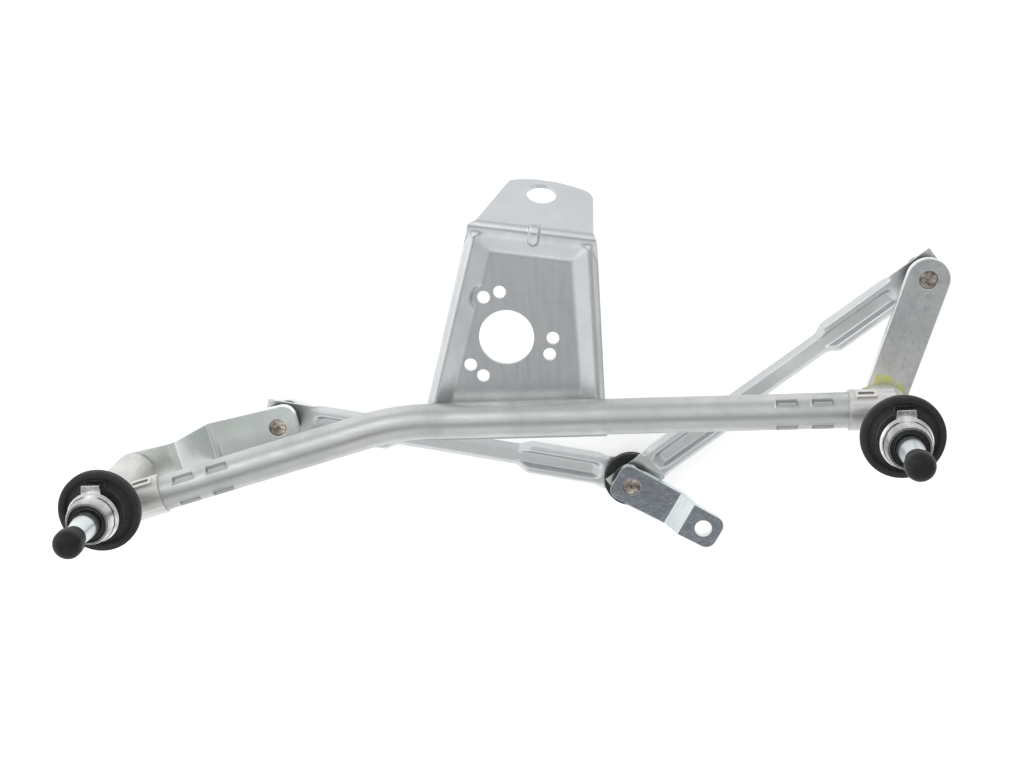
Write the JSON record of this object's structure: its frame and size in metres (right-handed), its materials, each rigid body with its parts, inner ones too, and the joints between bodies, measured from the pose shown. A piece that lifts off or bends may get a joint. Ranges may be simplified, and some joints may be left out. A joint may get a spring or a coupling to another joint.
{
  "type": "windshield wiper linkage assembly",
  "caption": "Front wiper linkage: bent tube frame with a motor plate, keyed spindle housings at its ends, cranks, pressed link rods on ball pins and a loose motor crank.",
  "frame": {"origin": "centre of the motor pilot hole, on the face the motor sits on", "axes": "+X along the straight part of the tube towards the right spindle, +Z along the spindles towards their caps, +Y towards the bent tab"},
  "size_m": [0.4976, 0.2216, 0.1891],
  "materials": {
    "tube_zinc": "zinc-plated drawn tube, satin with dull streaks",
    "plate_zinc": "zinc-plated pressed sheet, satin",
    "weld_steel": "weld bead under plating",
    "cast_alloy": "bead-blasted casting with a machined bright snout",
    "bronze": "sintered bronze bush",
    "seal_rubber": "matt black rubber",
    "spindle_steel": "ground and plated shaft",
    "cap_plastic": "dark grey moulded cap",
    "spring_steel": "spring steel, oiled",
    "crank_zinc": "zinc-plated forged crank with a blue-grey passivation",
    "pin_steel": "plain steel rivet and ball, slightly brown",
    "rod_zinc": "zinc-plated pressed sheet",
    "socket_plastic": "black acetal"
  },
  "bodies": {
    "frame": {"frame_tube": "tube_zinc", "motor_plate": "plate_zinc", "plate_welds": "weld_steel", "left_spindle_housing": "cast_alloy", "left_rear_bush": "bronze", "left_front_bush": "bronze", "left_seal_disc": "seal_rubber", "left_mouth_seal": "seal_rubber", "right_spindle_housing": "cast_alloy", "right_rear_bush": "bronze", "right_front_bush": "bronze", "right_seal_disc": "seal_rubber", "right_mouth_seal": "seal_rubber"},
    "left_spindle_arm": {"left_spindle": "spindle_steel", "left_spindle_cap": "cap_plastic", "left_retaining_ring": "spring_steel", "left_thrust_washer": "spring_steel", "left_crank": "crank_zinc", "left_ball_pin": "pin_steel"},
    "right_spindle_arm": {"right_spindle": "spindle_steel", "right_spindle_cap": "cap_plastic", "right_retaining_ring": "spring_steel", "right_thrust_washer": "spring_steel", "right_crank": "crank_zinc", "right_ball_pin": "pin_steel"},
    "left_rod": {"left_link_rod": "rod_zinc", "left_outer_socket": "socket_plastic", "left_socket_boot": "seal_rubber", "left_inner_socket": "socket_plastic"},
    "right_rod": {"right_link_rod": "rod_zinc", "right_outer_socket": "socket_plastic", "right_socket_boot": "seal_rubber", "right_inner_bush": "socket_plastic"},
    "motor_crank_arm": {"motor_crank": "crank_zinc", "motor_ball_stud": "pin_steel", "stud_collar": "seal_rubber", "stud_disc": "seal_rubber"}
  },
  "joints": [
    {"name": "left_spindle_turn", "type": "hinge", "parent": "frame", "child": "left_spindle_arm", "pos_m": [-0.222, -0.0756, 0], "axis": [0, 0, 1], "range_deg": [-8, 42]},
    {"name": "left_rod_swing", "type": "hinge", "parent": "left_spindle_arm", "child": "left_rod", "pos_m": [-0.1425, -0.0592, -0.058], "axis": [0, 0, 1], "range_deg": [-53, 10.5]},
    {"name": "motor_crank_turn", "type": "hinge", "parent": "left_rod", "child": "motor_crank_arm", "pos_m": [0.0673, -0.1016, -0.0596], "axis": [0, 0, 1], "continuous": true},
    {"name": "right_spindle_turn", "type": "hinge", "parent": "frame", "child": "right_spindle_arm", "pos_m": [0.213, -0.052, 0], "axis": [0, 0, 1], "range_deg": [-5, 25]},
    {"name": "right_rod_swing", "type": "hinge", "parent": "right_spindle_arm", "child": "right_rod", "pos_m": [0.2375, 0.0192, -0.048], "axis": [0, 0, 1], "range_deg": [-28, 6]}
  ],
  "couplings": [
    {"joint": "left_rod_swing", "follows": "left_spindle_turn", "ratio": -1.24},
    {"joint": "right_spindle_turn", "follows": "left_spindle_turn", "ratio": 0.581},
    {"joint": "right_rod_swing", "follows": "left_spindle_turn", "ratio": -0.658}
  ]
}
